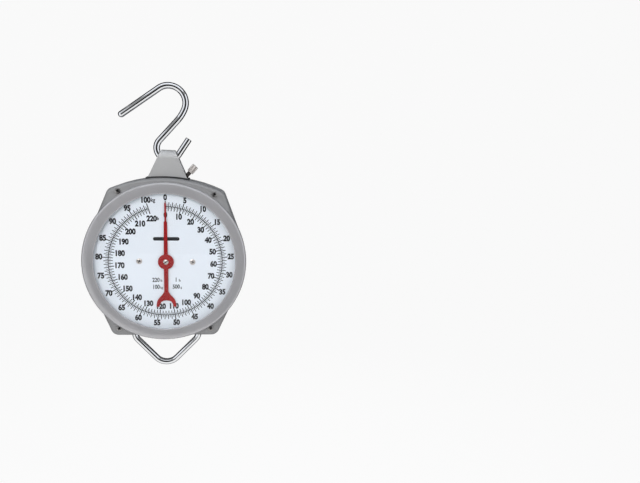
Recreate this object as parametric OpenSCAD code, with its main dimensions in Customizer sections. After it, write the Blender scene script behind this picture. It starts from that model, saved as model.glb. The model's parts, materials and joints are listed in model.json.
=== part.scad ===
// Hanging dial scale for 100 kg. Millimetres, +Z up, the dial faces -Y.
// The origin is the hang point, inside the top of the hook's crown. Heights of the case and of what
// it holds are counted from the middle of the dial.

/* [Hook] */
// Diameter of the round bar of the hook
hook_bar = 8; // [6:0.1:8.4]
// Centreline radius of the crown
crown_r = 20.3; // [17:0.1:25]
// Centreline radius of the lower bend, where the hanger sits
seat_r = 14.5; // [13.9:0.1:16]
// Height from the centre of the lower bend to the centre of the crown
hook_span = 56.4; // [50:0.1:70]
// Centreline radius of the slow bend between the shank and the crown
sweep_r = 48; // [38:1:60]
// Turn of that slow bend in degrees
sweep_turn = 20; // [10:1:28]
// Length of the straight leg behind the tip
tip_leg = 55.8; // [40:0.1:70]
// Slope of the tip leg in degrees
tip_slope = 37.4; // [25:0.1:48]
// Length of the short straight arm beyond the lower bend
arm_leg = 23.8; // [16:0.1:30]
// Slope of the short arm in degrees
arm_slope = 58; // [50:1:75]

/* [Hanger] */
// Thickness of the hanger's steel strap
strap_t = 2; // [1.5:0.1:2.5]
// Outer radius of the fold that lies over the hook
fold_r = 10; // [9:0.1:12]
// Width of the hanger at the top of the fold
fold_w = 16.8; // [14:0.1:17.2]
// Spread of each side of the hanger in degrees
spread = 24.3; // [20:0.1:28]
// Height of the fold's axis above the top of the case
strap_rise = 24.5; // [22:0.5:32]
// Width of the hanger inside the case, where it carries the works
frame_w = 76; // [74:0.5:78]
// Depth of the hanger below the middle of the dial
frame_drop = 14; // [12:0.5:18]
// Swing of the case on the hook, each way, in degrees
swing = 20; // [10:1:22]
// Thickness of the dark seal around the hanger on top of the case
seal_t = 2; // [1:0.1:3]

/* [Case] */
// Depth of the front cover
front_d = 20; // [18:0.5:24]
// Depth of the rear cover
rear_d = 26; // [20:0.5:30]
// Thickness of the pressed sheet
case_t = 1.5; // [1:0.1:1.8]
// Radius of the pressed edge
edge_r = 4; // [3:0.5:5]
// Height of the top of the case above the top of the bezel
top_rise = 4.5; // [2:0.5:8]
// Radius of the arched top
arch_r = 165; // [150:1:190]
// Width of the case across its top corners, before they are rounded
top_w = 141; // [132:1:146]
// Height of the underside of the case above the lowest point of the bezel
bottom_rise = 2.5; // [0.5:0.5:3]
// Width of the case across its bottom corners, before they are rounded
bottom_w = 129; // [124:1:140]
// How far the bezel stands out over the round sides
side_in = 1.5; // [0.5:0.1:2.5]
// Radius of the corners
corner_r = 10; // [8:0.5:12]

/* [Bezel and dial] */
// Diameter of the bezel
bezel_d = 200; // [196:0.5:210]
// Width of the bezel's face
bezel_face = 14; // [11:0.5:16]
// Wall of the bezel's skirt
bezel_wall = 2.4; // [1.5:0.1:3]
// Thickness of the bezel's face
bezel_t = 2; // [1.5:0.1:3]
// Radius of the bezel's outer shoulder
shoulder_r = 3.2; // [1:0.1:4]
// Height of the collar on the front cover
collar_h = 4.5; // [4.2:0.1:7]
// Thickness of the lens gasket
gasket_t = 1; // [0.6:0.1:2]
// Thickness of the lens
lens_t = 2; // [1.5:0.1:3]
// Thickness of the dial plate
dial_t = 0.8; // [0.6:0.1:1.2]
// Distance of each dial screw from the middle
dial_screw_x = 32.6; // [31:0.1:33.5]

/* [Pointer] */
// Reach of the needle
needle_reach = 76; // [60:0.5:82]
// Width of the needle
needle_w = 1.3; // [0.8:0.1:2]
// Length of the arm that carries the needle
arm_reach = 52; // [30:0.5:58]
// Width of the arm
arm_w = 3.9; // [3:0.1:5]
// Diameter of the hub disc
hub_d = 17.7; // [14:0.1:20]
// Width of the tail
tail_w = 4.7; // [3:0.1:6]
// Distance of the crescent's centre from the hub
crescent_reach = 58.5; // [45:0.5:66]
// Outer radius of the crescent
crescent_r = 12; // [10:0.5:15]
// Width of the crescent
crescent_w = 3.7; // [2.5:0.1:5]
// Thickness of the pointer
pointer_t = 0.8; // [0.6:0.1:1]

/* [Loop] */
// Diameter of the round bar of the loop
loop_bar = 8; // [6:0.1:8.4]
// Half the distance between the legs
loop_x = 40.7; // [38.5:0.1:41.5]
// Height from the underside of the case down to where the legs bend
loop_neck = 2.2; // [1.8:0.1:10]
// Slope of the sides of the loop in degrees
loop_slope = 46.5; // [40:0.1:52]
// Centreline radius of the two upper bends
loop_corner_r = 14; // [10:0.5:16]
// Centreline radius of the bend at the bottom
loop_apex_r = 18; // [10:0.5:22]

/* [Springs] */
// Diameter of the spring wire
wire_d = 3.8; // [3:0.1:4]
// Mean diameter of the coils
coil_d = 20.4; // [19:0.1:20.8]
// Number of coils
turns = 16; // [12:1:16]
// Gap between coils with no load
coil_gap = 0.46; // [0.45:0.01:0.7]
// Distance of each spring from the middle
spring_x = 53; // [52.5:0.1:54]
// Thickness of the plug flanges
flange_t = 3; // [2:0.1:4]

/* [Works] */
// Module of the pinion and rack teeth
tooth_m = 0.6; // [0.5:0.01:0.65]
// Number of teeth of the pinion
pinion_teeth = 18; // [16:1:18]
// Turn of the pointer over the whole dial in degrees
dial_turn = 343; // [300:1:350]
// Diameter of the spindle
spindle_d = 4; // [3:0.1:4.5]
// Thickness of the rack
rack_t = 4; // [3:0.1:6]
// Width of the rack behind its teeth
rack_w = 4; // [3:0.1:5]
// Height of the crossbar
bar_h = 14; // [12:0.5:18]
// Thickness of the crossbar
bar_t = 12; // [11:0.5:14]
// Height of the yoke
yoke_h = 12; // [10:0.5:13]
// Thickness of the yoke
yoke_t = 11; // [10:0.5:12]
// Thickness of the zero lever
lever_t = 5; // [4:0.1:6]

/* [Zero adjuster] */
// Distance of the knob's middle to the right
knob_x = 30.1; // [29:0.1:32]
// Height of the knob's middle above the top of the case
knob_rise = 11.8; // [10.5:0.1:13.5]
// Slope of the screw in degrees
screw_slope = 50; // [48:0.5:52]
// Diameter of the knob
knob_d = 8.4; // [7:0.1:10]
// Length of the knob
knob_len = 10.5; // [8:0.1:12]
// Diameter of the screw
screw_d = 5; // [4:0.1:5]

/* [Fasteners] */
// Diameter of the case screws
case_screw_d = 4; // [3:0.1:4]
// Diameter of the case screw heads
case_head_d = 6.8; // [5:0.1:7.5]
// Distance of the case screws outside the bezel
screw_out = 4.65; // [4:0.05:5]
// Place of the upper case screws round the dial, in degrees above the horizontal
top_screw_a = 56.3; // [54:0.1:58]
// Place of the lower case screws round the dial, in degrees below the horizontal
bottom_screw_a = 57; // [55:0.1:59]
// Diameter of the pillars between the hanger's plates
pillar_d = 7; // [6:0.1:8]

/* [Hidden] */
$fn = 64;

// Gap of a running fit, of two faces that meet, of a part that slips over another, of one that
// passes loosely, and around the springs
run_gap = 0.05;
face_gap = 0.05;
slip_gap = 0.15;
pass_gap = 0.4;
soft_gap = 0.3;
// How far a cut runs past the face that it opens
over = 1;
// Least gap kept between the hook and the fold when the case swings
seat_gap = 0.3;

// Bars: sides of the section, largest step in a bend in degrees, and the chamfer of a cut end
bar_sides = 16;
bend_step = 8;
bar_chamfer = 0.5;

// Hook: the shank's slope and length follow from the two bends that it joins
hook_r = hook_bar / 2;
crown_z = hook_r - crown_r;
seat_z = crown_z - hook_span;
shank_across = seat_r + sweep_r - (sweep_r - crown_r) * cos(sweep_turn);
shank_slope = acos(shank_across / hook_span);
shank_along = sqrt(hook_span * hook_span - shank_across * shank_across);
shank_len = shank_along - (sweep_r - crown_r) * sin(sweep_turn);
crown_turn = 180 + tip_slope - shank_slope - sweep_turn;
seat_turn = 180 + arm_slope - shank_slope;

// Heights above the middle of the dial, or below it for the underside of the case
bezel_r = bezel_d / 2;
case_top = bezel_r + top_rise;
case_bottom = bezel_r - bottom_rise;
side_r = bezel_r - side_in;
strap_h = case_top + strap_rise;
knob_z = case_top + knob_rise;

// Hanger: the fold rests on the lower bend, at the width that its edges have at full swing
fold_in = fold_r - strap_t;
edge_w = fold_w / 2 + tan(spread) * (fold_r - fold_in * cos(swing));
fold_rise = sqrt(pow(seat_r - hook_r, 2) - edge_w * edge_w);
fold_z = seat_z - fold_rise + seat_gap - fold_in;
dial_z = fold_z - strap_h;
strap_top = strap_h + fold_r;
frame_shoulder = strap_top - (frame_w - fold_w) / 2 / tan(spread);
strap_cut = 4;
// Half the width of the strap at a height
function strap_half(z) = fold_w / 2 + tan(spread) * (strap_top - z);

// Case outline: sides that touch the round part, between rounded corners
arch_z = case_top - arch_r;
top_corner_z = arch_z + sqrt(arch_r * arch_r - top_w * top_w / 4);
function side_angle(x, z) = atan2(z, x) - acos(side_r / norm([x, z]));
top_a = side_angle(top_w / 2, top_corner_z);
bottom_a = side_angle(bottom_w / 2, case_bottom);
inner_side = side_r - corner_r;
arch_term = inner_side * inner_side + 2 * -arch_z * inner_side * sin(top_a)
    + arch_z * arch_z - pow(arch_r - corner_r, 2);
arch_run = arch_z * cos(top_a) + sqrt(pow(arch_z * cos(top_a), 2) - arch_term);
top_corner = [inner_side * cos(top_a) - arch_run * sin(top_a),
    inner_side * sin(top_a) + arch_run * cos(top_a)];
bottom_corner = [(inner_side - (case_bottom - corner_r) * sin(bottom_a)) / cos(bottom_a),
    corner_r - case_bottom];
arch_a = atan2(top_corner[1] - arch_z, top_corner[0]);
function arc(x, z, r, a, b, steps) =
    [for (i = [0:steps]) [x + r * cos(a + (b - a) * i / steps), z + r * sin(a + (b - a) * i / steps)]];
// Each arc starts a little past the end of the one before it, so that no point is doubled
function half_outline(inset) = concat(
    arc(0, arch_z, arch_r - inset, 88, arch_a, 5),
    arc(top_corner[0], top_corner[1], corner_r - inset, arch_a - 8, top_a, 4),
    arc(0, 0, side_r - inset, top_a - 4, -bottom_a + 4, 9),
    arc(bottom_corner[0], bottom_corner[1], corner_r - inset, -bottom_a, -90, 5));
function mirrored(points) =
    [for (i = [len(points) - 1:-1:0]) [-points[i][0], points[i][1]]];
function outline(inset) = concat(half_outline(inset), mirrored(half_outline(inset)));
// Height of the arched top of the case at a distance from the middle
function arch_at(x) = arch_z + sqrt(arch_r * arch_r - x * x);
// Half widths at the arch: of the strap, of the slots for it in the covers, and of the seal
edge_half = strap_half(arch_at(strap_half(case_top)));
slot_half = edge_half + tan(spread) * case_t + pass_gap;
seal_side = 0.5;
seal_half = slot_half + seal_side;
seal_lip = 2;

// Depths in front of the seam, which is the plane Y = 0
collar_y = -front_d - collar_h;
gasket_y = collar_y - face_gap - gasket_t;
lens_y = gasket_y - face_gap - lens_t;
bezel_y = lens_y - face_gap - bezel_t;
bezel_fall = 0.6;
lip_r = 1;
collar_r = bezel_r - bezel_wall - slip_gap;
collar_wall = 2;
gasket_w = 3;
dial_margin = 5;
dial_r = collar_r - dial_margin;
dial_gap = 0.6;
dial_rise = 0.4;
dial_y = -front_d - dial_rise;
dial_back = dial_y + dial_t;
boss_gap = 0.5;
boss_t = 1.4;
pointer_back = dial_y - boss_gap - boss_t;
pointer_y = pointer_back - pointer_t;
boss_d = spindle_d + 5;
dial_hole = spindle_d + 4;
dial_screw_d = 3;
dial_screw_len = 6;
dial_head_d = 7.2;
dial_head_t = 1.1;
dial_post_d = 6;
pointer_screw_d = 2;
pointer_screw_len = 5;
pointer_head_d = 6.4;
pointer_head_t = 1.2;
needle_point = 1;
arm_taper = 0.3;
arm_point = 2;
crescent_cut = 1;

// Works: the rack travels as far as the pinion rolls over the whole dial
pinion_r = tooth_m * pinion_teeth / 2;
tooth_pitch = PI * tooth_m;
travel = dial_turn * PI / 180 * pinion_r;
addendum = tooth_m;
dedendum = 1.25 * tooth_m;
backlash = 0.14;
pressure_a = 20;
rack_run_on = 10;
pinion_t = rack_t + 3;
tooth_root = 0.2;
rack_back = pinion_r + dedendum + rack_w;
rack_teeth = floor((travel + rack_run_on) / tooth_pitch);
rack_low_tooth = -3;
rack_top = (rack_low_tooth + rack_teeth) * tooth_pitch;
plate_in = fold_in;
plate_out = fold_r;
plate_mid = (plate_in + plate_out) / 2;
guide_d = 6;
guide_x = rack_back + run_gap + guide_d / 2;
spigot_d = 3.4;
bar_gap = 2;
bar_top = -frame_drop - bar_gap;
bar_low = bar_top - bar_h;
bar_end = 6;
bar_half = spring_x + bar_end;
bar_skin = 3;
rack_foot = bar_h - bar_skin;
rack_pin_d = 1.8;
rack_pins_z = [for (share = [0.25, 0.7]) bar_top - share * rack_foot];
bearing_d = 10;
bearing_flange = 14;
bearing_lip = 1.2;
spindle_over = 2.2;

// Springs: each turn has this many rings of this many sides. The yoke lies above the crossbar by the
// length of the springs and their plug flanges
coil_rings = 8;
coil_sides = 6;
spring_low = bar_top + face_gap + flange_t + face_gap;
pitch = wire_d + coil_gap;
spring_len = turns * pitch + wire_d;
spring_high = spring_low + spring_len;
yoke_low = spring_high + face_gap + flange_t + face_gap;
yoke_top = yoke_low + yoke_h;
plug_d = (coil_d - wire_d) * cos(180 / coil_rings) - 2 * soft_gap;
plug_len = 10;
flange_d = coil_d + wire_d;
stud_d = 5;
stud_nut_h = 4.5;
stud_nut_w = 8;
stud_over = 1;
function coil_centre(k) = [coil_d / 2 * cos(k * 360 / coil_rings), coil_d / 2 * sin(k * 360 / coil_rings),
    pitch * k / coil_rings];
spring_gap = min([for (k = [coil_rings - 1:0.01:coil_rings + 1]) norm(coil_centre(k) - coil_centre(0))])
    - wire_d;

// Zero adjuster: the screw's flat tip presses on the flank of the lever, which lies square to it
screw_dir = [cos(screw_slope), 0, sin(screw_slope)];
lever_x = 4;
lever_z = case_top - 8.5;
lever_eye_r = 3.5;
pad_r = lever_eye_r;
pad_from_knob = (knob_x - lever_x) * cos(screw_slope) + (knob_z - lever_z) * sin(screw_slope);
pad = [knob_x, 0, knob_z] - pad_from_knob * screw_dir;
tip_from_knob = pad_from_knob - pad_r - face_gap;
exit_from_knob = (knob_z - case_top) / sin(screw_slope);
block_back = 3.5;
block_from_knob = tip_from_knob - block_back;
block_len = 5;
block_w = 8;
lever_pin_d = 4;
link_rise = 6;
link_z = yoke_top + link_rise;
link_eye_r = 4.5;
link_pin_d = 5;
lug_w = 12;
fork_gap = 1.5;
knob_socket = 4;

// Loop: its bottom follows from the legs, the slope of the sides and the bends
loop_r = loop_bar / 2;
loop_bend_z = -case_bottom - loop_neck;
corner_run = loop_corner_r * (1 - cos(90 - loop_slope));
flank_run = loop_x - corner_run - loop_apex_r * sin(loop_slope);
flank_len = flank_run / cos(loop_slope);
loop_leg_top = bar_top - bar_skin;
loop_leg_len = loop_leg_top - loop_bend_z;
apex_z = loop_bend_z - loop_corner_r * sin(90 - loop_slope) - flank_len * sin(loop_slope)
    - loop_apex_r * (1 - cos(loop_slope));
leg_nut_w = 11.5;
leg_nut_h = 5;
bush_d = loop_bar + 5;
bush_lip = 1.3;
bush_lip_t = 1.2;

// Fastener places, from the middle of the dial
screw_r = bezel_r + screw_out;
corner_screws = concat(
    [for (s = [-1, 1]) [s * screw_r * cos(top_screw_a), screw_r * sin(top_screw_a)]],
    [for (s = [-1, 1]) [s * screw_r * cos(bottom_screw_a), -screw_r * sin(bottom_screw_a)]]);
standoffs_at = [for (s = [-1, 1], z = [8, 52]) [s * (frame_w / 2 - 10), z]];
top_pillar_z = case_top - 13.5;
top_pillar_x = strap_half(top_pillar_z) - 8;
low_pillar_z = 6.5 - frame_drop;
low_pillar_x = frame_w / 2 - 9;
pillars_at = concat([for (s = [-1, 1]) [s * top_pillar_x, top_pillar_z]],
    [for (s = [-1, 1]) [s * low_pillar_x, low_pillar_z]]);
spacer_d = 6.4;
spacer_gap = 0.35;
spacer_floor = 4;
standoff_d = 7;
standoff_floor = 2;
frame_screw_d = 3.4;
frame_head_d = 6.5;
screw_head_t = 1.6;

// Prints the least gap of a spring to itself, and the main heights
echo(spring_gap = spring_gap);
echo(dial_z = dial_z, fold_z = fold_z, travel = travel, apex_z = apex_z, crown_z = crown_z);
echo(seat_z = seat_z, spring_low = spring_low, spring_high = spring_high, pad = pad);

// Moves what is drawn around the middle of the dial to its place below the hook
module at_dial() { translate([0, 0, dial_z]) children(); }

// A rod along Y between two depths, at a place seen from the front
module rod_y(x, z, d, y0, y1) {
    translate([x, y1, z]) rotate([90, 0, 0]) cylinder(h = y1 - y0, d = d);
}

// A flat form seen from the front, given thickness between two depths
module slab(y0, y1) {
    translate([0, y1, 0]) rotate([90, 0, 0]) linear_extrude(height = y1 - y0) children();
}

// Rings along a round bar bent in the XZ plane, from a place and a heading. Each bend is
// [straight length, radius, turn in degrees], and each ring is [x, z, heading, bar radius]
function bar_rings(bends, x, z, heading, r, i = 0) =
    i == len(bends) ? [] : let (
        bend = bends[i],
        side = bend[2] < 0 ? -1 : 1,
        steps = ceil(abs(bend[2]) / bend_step),
        x1 = x + bend[0] * cos(heading),
        z1 = z + bend[0] * sin(heading),
        centre_x = x1 - side * bend[1] * sin(heading),
        centre_z = z1 + side * bend[1] * cos(heading),
        arc_rings = [for (k = [1:1:steps]) let (a = heading + bend[2] * k / steps)
            [centre_x + side * bend[1] * sin(a), centre_z - side * bend[1] * cos(a), a, r]],
        end = steps == 0 ? [x1, z1, heading, r] : arc_rings[steps - 1])
    concat(bend[0] > 0 ? [[x1, z1, heading, r]] : [], arc_rings,
        bar_rings(bends, end[0], end[1], end[2], r, i + 1));

// One unbroken bar through its rings, with flat ends
module bar(rings) {
    points = [for (ring = rings, i = [0:bar_sides - 1]) let (
        t = i * 360 / bar_sides,
        out = ring[3] * cos(t))
        [ring[0] - out * sin(ring[2]), ring[3] * sin(t), ring[1] + out * cos(ring[2])]];
    last = len(rings) - 1;
    sides = [for (k = [0:last - 1], i = [0:bar_sides - 1]) let (j = (i + 1) % bar_sides, n = bar_sides)
        each [[k * n + i, (k + 1) * n + i, k * n + j], [k * n + j, (k + 1) * n + i, (k + 1) * n + j]]];
    ends = [[for (i = [0:bar_sides - 1]) i],
        [for (i = [bar_sides - 1:-1:0]) last * bar_sides + i]];
    polyhedron(points = points, faces = concat(sides, ends));
}

// A stack of outlines, one per depth, joined to a closed solid
module lofted(insets, depths) {
    rings = [for (k = [0:len(insets) - 1]) [for (p = outline(insets[k])) [p[0], depths[k], p[1]]]];
    n = len(rings[0]);
    last = len(rings) - 1;
    points = [for (ring = rings, p = ring) p];
    sides = [for (k = [0:last - 1], i = [0:n - 1]) let (j = (i + 1) % n)
        each [[k * n + i, k * n + j, (k + 1) * n + i], [k * n + j, (k + 1) * n + j, (k + 1) * n + i]]];
    ends = [[for (i = [n - 1:-1:0]) i], [for (i = [0:n - 1]) last * n + i]];
    polyhedron(points = points, faces = concat(sides, ends));
}

// One half of the pressed case, from the seam to a depth along Y, with a rounded edge
module pressed_shell(depth, facing) {
    steps = [0, 30, 60, 90];
    mirror([0, facing > 0 ? 1 : 0, 0]) difference() {
        lofted(concat([0], [for (a = steps) edge_r * (1 - cos(a))]),
            concat([0], [for (a = steps) -depth + edge_r * (1 - sin(a))]));
        lofted(concat([case_t, case_t], [for (a = steps) case_t + (edge_r - case_t) * (1 - cos(a))]),
            concat([1, -1], [for (a = steps) -depth + case_t + (edge_r - case_t) * (1 - sin(a))]));
    }
}

// What is cut out of both covers: the hanger's slots, the zero screw's hole and the legs' holes
module seam_cuts() {
    for (s = [-1, 1]) {
        translate([-slot_half, s * plate_mid - strap_t / 2 - pass_gap, case_top - 2 * edge_r])
            cube([2 * slot_half, strap_t + 2 * pass_gap, 2 * edge_r + over]);
        translate([s * loop_x, 0, -case_bottom - over])
            cylinder(h = case_t + 2 * over, d = bush_d + 2 * run_gap);
    }
    along_screw(exit_from_knob + screw_d) cylinder(h = 4 * screw_d, d = screw_d + 2 * over, center = true);
}

// Places a form on the zero screw's axis, at a distance below the knob's middle
module along_screw(distance) {
    translate([knob_x, 0, knob_z] - distance * screw_dir) rotate([0, 90 - screw_slope, 0]) children();
}

// The hook runs from the flat end of its short arm to the round end of its tip
module upper_hook() {
    heading = 180 + arm_slope;
    end_x = seat_r * sin(arm_slope) + arm_leg * cos(arm_slope);
    end_z = seat_z - seat_r * cos(arm_slope) + arm_leg * sin(arm_slope);
    bends = [[arm_leg, seat_r, -seat_turn], [shank_len, sweep_r, sweep_turn], [0, crown_r, crown_turn],
        [tip_leg, 0, 0]];
    rings = bar_rings(bends, end_x, end_z, heading, hook_r);
    tip = rings[len(rings) - 1];
    cut = [[end_x, end_z, heading, hook_r - bar_chamfer],
        [end_x + bar_chamfer * cos(heading), end_z + bar_chamfer * sin(heading), heading, hook_r]];
    round_end = [for (a = [25, 50, 75]) [tip[0] + hook_r * sin(a) * cos(tip[2]),
        tip[1] + hook_r * sin(a) * sin(tip[2]), tip[2], hook_r * cos(a)]];
    color("silver") bar(concat(cut, rings, round_end));
}

// The strap seen from the front: narrow over the hook, wide in the case, cut square below
module hanger_outline() {
    half = frame_w / 2;
    low = -frame_drop;
    polygon([[-fold_w / 2, strap_top], [fold_w / 2, strap_top], [half, frame_shoulder],
        [half, low + strap_cut], [half - strap_cut, low], [strap_cut - half, low], [-half, low + strap_cut],
        [-half, frame_shoulder]]);
}

module hanger_frame() {
    color("silver") at_dial() difference() {
        intersection() {
            rotate([90, 0, 90]) linear_extrude(height = frame_w, center = true) difference() {
                union() {
                    translate([0, strap_h]) circle(r = fold_r);
                    translate([-fold_r, -frame_drop]) square([2 * fold_r, strap_h + frame_drop]);
                }
                translate([0, strap_h]) circle(r = fold_in);
                translate([-fold_in, -frame_drop - over]) square([2 * fold_in, strap_h + frame_drop + over]);
            }
            slab(-fold_r - over, fold_r + over) hanger_outline();
        }
        rod_y(0, 0, bearing_d + 2 * run_gap, -plate_out - over, plate_out + over);
        rod_y(lever_x, lever_z, lever_pin_d + 2 * run_gap, -plate_out - over, plate_out + over);
        rod_y(guide_x, 0, spigot_d + 2 * run_gap, -plate_out - over, plate_out + over);
        for (p = pillars_at) rod_y(p[0], p[1], spigot_d + 2 * run_gap, -plate_out - over, plate_out + over);
        for (s = [-1, 1])
            rod_y(s * dial_screw_x, 0, spigot_d + 2 * run_gap, -plate_out - over, 0);
        for (p = standoffs_at) rod_y(p[0], p[1], spigot_d + 2 * run_gap, 0, plate_out + over);
    }
}

// A long round block whose top is the case's arch, raised by a height
module arch_block(rise) {
    translate([0, 0, arch_z]) rotate([90, 0, 0])
        cylinder(h = 6 * plate_out, r = arch_r + rise, center = true, $fn = 256);
}

// The seal follows the arch of the case and lets both plates and the zero screw through
module hanger_seal() {
    color("dimgray") at_dial() difference() {
        intersection() {
            translate([-seal_half, -plate_out - seal_lip, case_top - edge_r])
                cube([2 * seal_half, 2 * (plate_out + seal_lip), 2 * edge_r]);
            arch_block(face_gap + seal_t);
        }
        arch_block(face_gap);
        for (s = [-1, 1])
            translate([-edge_half, s * plate_mid - strap_t / 2 - run_gap, case_top - 2 * edge_r])
                cube([2 * edge_half, strap_t + 2 * run_gap, 4 * edge_r]);
        along_screw(exit_from_knob + screw_d)
            cylinder(h = 6 * screw_d, d = screw_d + 4 * slip_gap, center = true);
    }
}

module front_cover() {
    color("darkgray") at_dial() difference() {
        union() {
            pressed_shell(front_d, -1);
            rod_y(0, 0, 2 * collar_r, collar_y, -front_d + case_t / 2);
        }
        rod_y(0, 0, 2 * (collar_r - collar_wall), collar_y - over, -front_d - case_t);
        rod_y(0, 0, 2 * (dial_r + dial_gap), -front_d - 2 * case_t, -front_d + 2 * case_t);
        for (p = corner_screws)
            rod_y(p[0], p[1], case_screw_d + pass_gap, -front_d - over, -front_d + edge_r);
        seam_cuts();
    }
}

module rear_cover() {
    color("darkgray") at_dial() difference() {
        pressed_shell(rear_d, 1);
        for (p = standoffs_at)
            rod_y(p[0], p[1], frame_screw_d + pass_gap, rear_d - case_t - over, rear_d + over);
        seam_cuts();
    }
}

// Tubes that hold the covers apart at the corner screws
module case_spacers() {
    color("silver") at_dial() for (p = corner_screws) difference() {
        rod_y(p[0], p[1], spacer_d, -front_d + case_t + spacer_gap, rear_d - case_t - spacer_gap);
        rod_y(p[0], p[1], case_screw_d + 2 * run_gap, -front_d, rear_d - case_t - spacer_floor);
    }
}

module case_screws() {
    color("gray") at_dial() for (p = corner_screws) {
        rod_y(p[0], p[1], case_head_d, -front_d - face_gap - screw_head_t, -front_d - face_gap);
        rod_y(p[0], p[1], case_screw_d, -front_d - screw_head_t / 2, rear_d - case_t - spacer_floor - over);
    }
}

// Posts riveted to the rear plate, to which the rear cover is screwed
module frame_standoffs() {
    color("silver") at_dial() for (p = standoffs_at) difference() {
        union() {
            rod_y(p[0], p[1], standoff_d, plate_out + face_gap, rear_d - case_t - face_gap);
            rod_y(p[0], p[1], spigot_d, plate_in, plate_out + over);
        }
        rod_y(p[0], p[1], frame_screw_d + 2 * run_gap, plate_out + standoff_floor, rear_d);
    }
}

module frame_screws() {
    color("gray") at_dial() for (p = standoffs_at) {
        rod_y(p[0], p[1], frame_head_d, rear_d + face_gap, rear_d + face_gap + screw_head_t);
        rod_y(p[0], p[1], frame_screw_d, plate_out + standoff_floor + over, rear_d + screw_head_t / 2);
    }
}

// Shouldered pillars riveted between the two plates of the hanger
module frame_pillars() {
    color("silver") at_dial() for (p = pillars_at) {
        rod_y(p[0], p[1], pillar_d, -plate_in + face_gap, plate_in - face_gap);
        rod_y(p[0], p[1], spigot_d, -plate_out, plate_out);
    }
}

// The bezel's section: a skirt over the collar, a round shoulder and a face that falls to the lens
module bezel_ring() {
    inner_r = bezel_r - bezel_face;
    shoulder = arc(bezel_r - shoulder_r, -bezel_y - shoulder_r, shoulder_r, 0, 80, 8);
    lip = arc(inner_r + lip_r, -bezel_y - lip_r - bezel_fall, lip_r, 100, 180, 3);
    color("darkgray") at_dial() rotate([90, 0, 0]) rotate_extrude($fn = 128) polygon(concat(
        [[bezel_r - bezel_wall, front_d + face_gap], [bezel_r, front_d + face_gap]],
        shoulder, lip,
        [[inner_r, -lens_y + face_gap], [bezel_r - bezel_wall, -lens_y + face_gap]]));
}

module lens() {
    r = collar_r - 2 * slip_gap;
    color("lightblue", 0.35) at_dial() rod_y(0, 0, 2 * r, lens_y, lens_y + lens_t);
}

module lens_gasket() {
    color("black") at_dial() difference() {
        rod_y(0, 0, 2 * collar_r, gasket_y, gasket_y + gasket_t);
        rod_y(0, 0, 2 * (collar_r - gasket_w), gasket_y - over, gasket_y + gasket_t + over);
    }
}

module dial_plate() {
    color("white") at_dial() difference() {
        rod_y(0, 0, 2 * dial_r, dial_y, dial_back);
        rod_y(0, 0, dial_hole, dial_y - over, dial_back + over);
        for (s = [-1, 1])
            rod_y(s * dial_screw_x, 0, dial_screw_d + 2 * slip_gap, dial_y - over, dial_back + over);
    }
}

module dial_posts() {
    color("silver") at_dial() for (s = [-1, 1]) difference() {
        union() {
            rod_y(s * dial_screw_x, 0, dial_post_d, dial_back + face_gap, -plate_out - face_gap);
            rod_y(s * dial_screw_x, 0, spigot_d, -plate_out - over, -plate_in);
        }
        rod_y(s * dial_screw_x, 0, dial_screw_d + 2 * run_gap, dial_back - over,
            dial_back + dial_screw_len + over);
    }
}

module dial_screws() {
    color("silver") at_dial() for (s = [-1, 1]) {
        rod_y(s * dial_screw_x, 0, dial_head_d, dial_y - face_gap - dial_head_t, dial_y - face_gap);
        rod_y(s * dial_screw_x, 0, dial_screw_d, dial_y - dial_head_t / 2, dial_back + dial_screw_len);
    }
}

// Flanged bush, pressed into a plate from outside
module bearing(facing) {
    mirror([0, facing > 0 ? 1 : 0, 0]) difference() {
        union() {
            rod_y(0, 0, bearing_d, -plate_out - bearing_lip / 2, -plate_in);
            rod_y(0, 0, bearing_flange, -plate_out - face_gap - bearing_lip, -plate_out - face_gap);
        }
        rod_y(0, 0, spindle_d + 2 * run_gap, -plate_out - bearing_lip - over, 0);
    }
}

module front_bearing() { color("goldenrod") at_dial() bearing(-1); }

module rear_bearing() { color("goldenrod") at_dial() bearing(1); }

// The spindle carries the pinion between the plates and the pointer in front of the dial
module spindle() {
    color("silver") at_dial() difference() {
        rod_y(0, 0, spindle_d, pointer_back + face_gap, plate_out + spindle_over);
        rod_y(0, 0, pointer_screw_d + 2 * run_gap, pointer_back - over,
            pointer_back + pointer_screw_len + over);
    }
}

// One straight-sided tooth pointing along +X from the pitch line
module tooth(root, tip, half) {
    slant = tan(pressure_a);
    polygon([[-root, -half - root * slant], [tip, -half + tip * slant],
        [tip, half - tip * slant], [-root, half + root * slant]]);
}

module pinion() {
    half = tooth_pitch / 4 - backlash / 2;
    color("goldenrod") at_dial() difference() {
        slab(-pinion_t / 2, pinion_t / 2) union() {
            circle(r = pinion_r - dedendum);
            for (i = [0:pinion_teeth - 1]) rotate(i * 360 / pinion_teeth)
                translate([pinion_r, 0]) tooth(dedendum + tooth_root, addendum, half);
        }
        rod_y(0, 0, spindle_d + 2 * run_gap, -pinion_t, pinion_t);
    }
}

module pointer_boss() {
    color("goldenrod") at_dial() difference() {
        rod_y(0, 0, boss_d, pointer_back + face_gap, pointer_back + boss_t);
        rod_y(0, 0, spindle_d + 2 * run_gap, pointer_back - over, pointer_back + boss_t + over);
    }
}

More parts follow.
